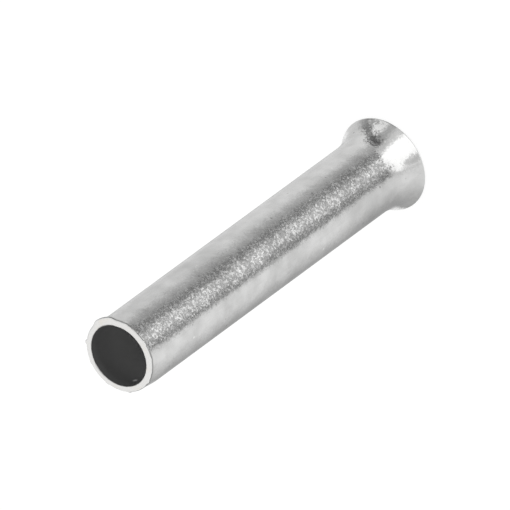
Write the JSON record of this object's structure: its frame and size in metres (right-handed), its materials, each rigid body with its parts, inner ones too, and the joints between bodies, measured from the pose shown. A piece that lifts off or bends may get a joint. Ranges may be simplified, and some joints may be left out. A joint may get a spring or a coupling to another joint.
{
  "type": "wire ferrule",
  "caption": "Bare tubular end sleeve for stranded wire, with a straight barrel and a flared bell mouth.",
  "frame": {"origin": "centre of the mouth, on the plane that the mouth stands on", "axes": "+Z along the tube's axis, from the bell mouth up to the plain cut end"},
  "size_m": [0.004, 0.004, 0.018],
  "materials": {
    "tinned_copper": "bright tin plating, finely mottled, over drawn copper"
  },
  "bodies": {
    "root": {"sleeve": "tinned_copper"}
  },
  "joints": []
}
